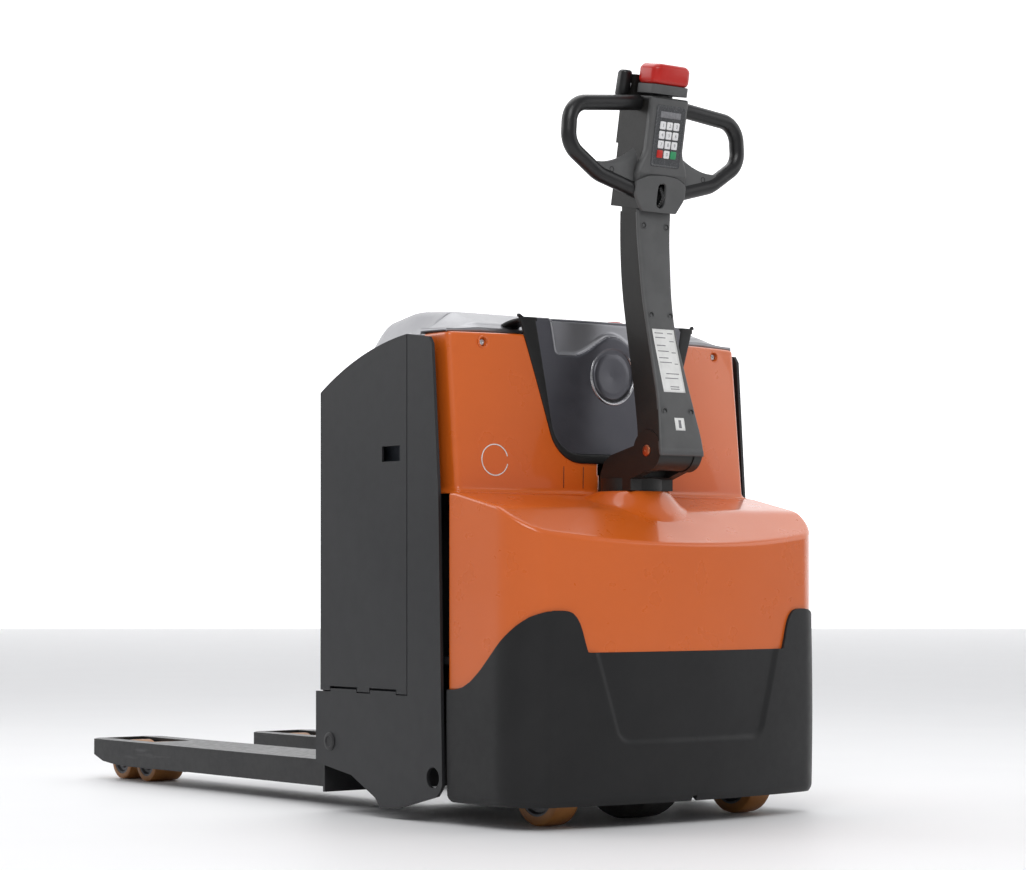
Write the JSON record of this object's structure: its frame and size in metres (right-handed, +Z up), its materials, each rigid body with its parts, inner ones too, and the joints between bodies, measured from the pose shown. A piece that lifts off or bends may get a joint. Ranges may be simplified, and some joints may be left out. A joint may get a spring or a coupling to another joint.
{
  "type": "electric pallet truck",
  "caption": "Walkie electric pallet truck: low forks on a lifting battery box, cowled drive end with castors, and a folding tiller with looped grips.",
  "frame": {"origin": "on the floor, under the centre of the overall bounding box", "axes": "+X the truck's right seen from the nose, +Y from the cowl's nose to the fork tips, +Z up"},
  "size_m": [0.72, 1.612, 1.3277],
  "materials": {
    "orange": "gloss",
    "black_skirt": "satin",
    "trim_black": "matte",
    "panel_grey": "metallic satin",
    "lid_silver": "metallic satin",
    "side_grey": "textured powder coat",
    "fork_black": "satin",
    "frame_steel": "satin",
    "bright_steel": "brushed",
    "cast_housing": "cast",
    "motor_black": "satin",
    "tyre_black": "matte",
    "roller_brown": "satin polyurethane",
    "tiller_grey": "fine texture",
    "tiller_dark": "satin",
    "grip_black": "satin",
    "button_red": "gloss",
    "button_green": "satin",
    "key_white": "satin",
    "battery_blue": "satin"
  },
  "bodies": {
    "chassis": {"base_frame": "frame_steel", "lower_cowl": "orange", "upper_hood": "orange", "bumper_skirt": "black_skirt", "hood_trim": "trim_black", "centre_panel": "panel_grey", "roundel_badge": "panel_grey", "hood_screws": "bright_steel", "top_cover": "lid_silver", "guide_rails": "bright_steel", "bearing_outer_ring": "bright_steel", "lift_cylinder": "motor_black", "power_pack": "motor_black", "motor_controller": "cast_housing"},
    "steer_unit": {"bearing_inner_ring": "bright_steel", "drive_housing": "cast_housing", "traction_motor": "motor_black", "tiller_bracket": "tiller_dark", "pivot_pin": "bright_steel"},
    "drive_wheel": {"drive_hub": "cast_housing", "drive_tyre": "tyre_black"},
    "tiller": {"tiller_arm": "tiller_dark", "arm_cover": "tiller_grey", "arm_screws": "bright_steel", "head_body": "grip_black", "head_cover": "tiller_grey", "hub_cover": "tiller_grey", "keypad": "key_white", "handle_loop_left": "grip_black", "handle_loop_right": "grip_black"},
    "belly_switch": {"belly_button": "button_red"},
    "throttle": {"throttle_rocker": "grip_black"},
    "lift_switch": {"lift_button": "grip_black"},
    "lower_switch": {"lower_button": "grip_black"},
    "horn_switch": {"horn_button": "button_green"},
    "emergency_stop": {"estop_button": "button_red"},
    "castor_swivel_left": {"castor_fork_left": "frame_steel"},
    "castor_swivel_right": {"castor_fork_right": "frame_steel"},
    "castor_roll_left": {"castor_wheel_left": "roller_brown"},
    "castor_roll_right": {"castor_wheel_right": "roller_brown"},
    "carriage": {"battery_box": "fork_black", "lift_rod": "bright_steel", "battery": "battery_blue", "side_frame_left": "side_grey", "side_frame_right": "side_grey", "fork_left": "fork_black", "fork_right": "fork_black"},
    "door_left": {"battery_door_left": "side_grey"},
    "door_right": {"battery_door_right": "side_grey"},
    "lid": {"battery_lid": "lid_silver"},
    "carrier_left": {"roller_carrier_left": "fork_black"},
    "bogie_frame_left": {"bogie_left": "fork_black"},
    "pull_left": {"pull_rod_left": "fork_black"},
    "load_roller_left_rear": {"roller_left_rear": "roller_brown"},
    "load_roller_left_front": {"roller_left_front": "roller_brown"},
    "carrier_right": {"roller_carrier_right": "fork_black"},
    "bogie_frame_right": {"bogie_right": "fork_black"},
    "pull_right": {"pull_rod_right": "fork_black"},
    "load_roller_right_rear": {"roller_right_rear": "roller_brown"},
    "load_roller_right_front": {"roller_right_front": "roller_brown"}
  },
  "joints": [
    {"name": "steer", "type": "hinge", "parent": "chassis", "child": "steer_unit", "pos_m": [0, -0.638, 0.4], "axis": [0, 0, 1], "range_deg": [-90, 90]},
    {"name": "drive_wheel_spin", "type": "hinge", "parent": "steer_unit", "child": "drive_wheel", "pos_m": [0, -0.638, 0.115], "axis": [1, 0, 0], "continuous": true},
    {"name": "tiller_fold", "type": "hinge", "parent": "steer_unit", "child": "tiller", "pos_m": [0, -0.733, 0.646], "axis": [1, 0, 0], "range_deg": [0, 75]},
    {"name": "belly_press", "type": "slide", "parent": "tiller", "child": "belly_switch", "axis": [0, 0.1805, -0.9836], "range_m": [0, 0.004], "stiffness_N_per_m": 1500},
    {"name": "throttle_turn", "type": "hinge", "parent": "tiller", "child": "throttle", "pos_m": [0, -0.67112, 1.2909], "axis": [1, 0, 0], "range_deg": [-25, 25], "stiffness_Nm_per_rad": 1},
    {"name": "estop_press", "type": "slide", "parent": "chassis", "child": "emergency_stop", "axis": [0, 0, -1], "range_m": [0, 0.004], "stiffness_N_per_m": 1500},
    {"name": "lift", "type": "slide", "parent": "chassis", "child": "carriage", "axis": [0, 0, 1], "range_m": [0, 0.12]},
    {"name": "lift_press", "type": "slide", "parent": "tiller", "child": "lift_switch", "axis": [0, -0.9836, -0.1805], "range_m": [0, 0.0025], "stiffness_N_per_m": 800},
    {"name": "lower_press", "type": "slide", "parent": "tiller", "child": "lower_switch", "axis": [0, -0.9836, -0.1805], "range_m": [0, 0.0025], "stiffness_N_per_m": 800},
    {"name": "horn_press", "type": "slide", "parent": "tiller", "child": "horn_switch", "axis": [0, -0.9836, -0.1805], "range_m": [0, 0.0025], "stiffness_N_per_m": 800},
    {"name": "castor_swivel_left", "type": "hinge", "parent": "chassis", "child": "castor_swivel_left", "pos_m": [-0.224, -0.65, 0.15], "axis": [0, 0, 1], "continuous": true},
    {"name": "castor_spin_left", "type": "hinge", "parent": "castor_swivel_left", "child": "castor_roll_left", "pos_m": [-0.224, -0.675, 0.0625], "axis": [1, 0, 0], "continuous": true},
    {"name": "door_tilt_left", "type": "hinge", "parent": "carriage", "child": "door_left", "pos_m": [-0.36, -0.318, 0.221], "axis": [0, -1, 0], "range_deg": [0, 14]},
    {"name": "carrier_swing_left", "type": "hinge", "parent": "carriage", "child": "carrier_left", "pos_m": [-0.2, 0.47983, 0.06], "axis": [-1, 0, 0], "range_deg": [0, 36]},
    {"name": "bogie_tilt_left", "type": "hinge", "parent": "carrier_left", "child": "bogie_frame_left", "pos_m": [-0.2, 0.697, 0.041], "axis": [1, 0, 0], "range_deg": [0, 36]},
    {"name": "pull_rod_slide_left", "type": "slide", "parent": "carriage", "child": "pull_left", "axis": [0, -1, 0], "range_m": [0, 0.013]},
    {"name": "roller_spin_left_rear", "type": "hinge", "parent": "bogie_frame_left", "child": "load_roller_left_rear", "pos_m": [-0.2, 0.647, 0.041], "axis": [1, 0, 0], "continuous": true},
    {"name": "roller_spin_left_front", "type": "hinge", "parent": "bogie_frame_left", "child": "load_roller_left_front", "pos_m": [-0.2, 0.747, 0.041], "axis": [1, 0, 0], "continuous": true},
    {"name": "castor_swivel_right", "type": "hinge", "parent": "chassis", "child": "castor_swivel_right", "pos_m": [0.224, -0.65, 0.15], "axis": [0, 0, 1], "continuous": true},
    {"name": "castor_spin_right", "type": "hinge", "parent": "castor_swivel_right", "child": "castor_roll_right", "pos_m": [0.224, -0.675, 0.0625], "axis": [1, 0, 0], "continuous": true},
    {"name": "door_tilt_right", "type": "hinge", "parent": "carriage", "child": "door_right", "pos_m": [0.36, -0.318, 0.221], "axis": [0, 1, 0], "range_deg": [0, 14]},
    {"name": "carrier_swing_right", "type": "hinge", "parent": "carriage", "child": "carrier_right", "pos_m": [0.2, 0.47983, 0.06], "axis": [-1, 0, 0], "range_deg": [0, 36]},
    {"name": "bogie_tilt_right", "type": "hinge", "parent": "carrier_right", "child": "bogie_frame_right", "pos_m": [0.2, 0.697, 0.041], "axis": [1, 0, 0], "range_deg": [0, 36]},
    {"name": "pull_rod_slide_right", "type": "slide", "parent": "carriage", "child": "pull_right", "axis": [0, -1, 0], "range_m": [0, 0.013]},
    {"name": "roller_spin_right_rear", "type": "hinge", "parent": "bogie_frame_right", "child": "load_roller_right_rear", "pos_m": [0.2, 0.647, 0.041], "axis": [1, 0, 0], "continuous": true},
    {"name": "roller_spin_right_front", "type": "hinge", "parent": "bogie_frame_right", "child": "load_roller_right_front", "pos_m": [0.2, 0.747, 0.041], "axis": [1, 0, 0], "continuous": true},
    {"name": "lid_open", "type": "hinge", "parent": "carriage", "child": "lid", "pos_m": [0, -0.183, 0.752], "axis": [-1, 0, 0], "range_deg": [0, 80]}
  ],
  "couplings": [
    {"joint": "carrier_swing_left", "follows": "lift", "rad_per_m": 5.0344},
    {"joint": "bogie_tilt_left", "follows": "lift", "rad_per_m": 5.0344},
    {"joint": "pull_rod_slide_left", "follows": "lift", "ratio": 0.10414},
    {"joint": "carrier_swing_right", "follows": "lift", "rad_per_m": 5.0344},
    {"joint": "bogie_tilt_right", "follows": "lift", "rad_per_m": 5.0344},
    {"joint": "pull_rod_slide_right", "follows": "lift", "ratio": 0.10414}
  ]
}
